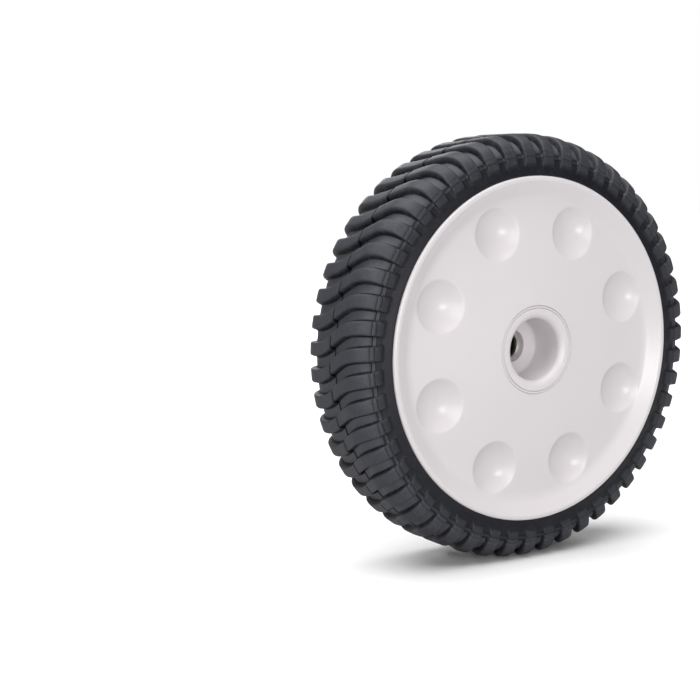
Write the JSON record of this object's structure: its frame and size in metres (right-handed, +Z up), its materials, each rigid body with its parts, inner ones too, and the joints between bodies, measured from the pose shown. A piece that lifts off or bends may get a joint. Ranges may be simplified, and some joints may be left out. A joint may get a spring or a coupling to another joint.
{
  "type": "lawn mower wheel",
  "caption": "Lawn mower drive wheel: solid rubber tyre with wavy lugs on a dished plastic rim with round dimples, a ribbed back with an internal gear, and a metal axle sleeve.",
  "frame": {"origin": "on the wheel's axis, at the middle of the tyre's width", "axes": "+Y along the axle towards the inboard side with the gear, so the dished outer face looks along -Y; +Z up; +X to the right when looking at the outer face"},
  "size_m": [0.2032, 0.0487, 0.2032],
  "materials": {
    "tyre_rubber": "dark grey moulded rubber, dull with a faint bloom",
    "rim_plastic": "pale grey moulded plastic, satin",
    "bush_steel": "plain drawn steel sleeve"
  },
  "bodies": {
    "root": {"tyre": "tyre_rubber", "rim": "rim_plastic", "axle_bush": "bush_steel"}
  },
  "joints": []
}
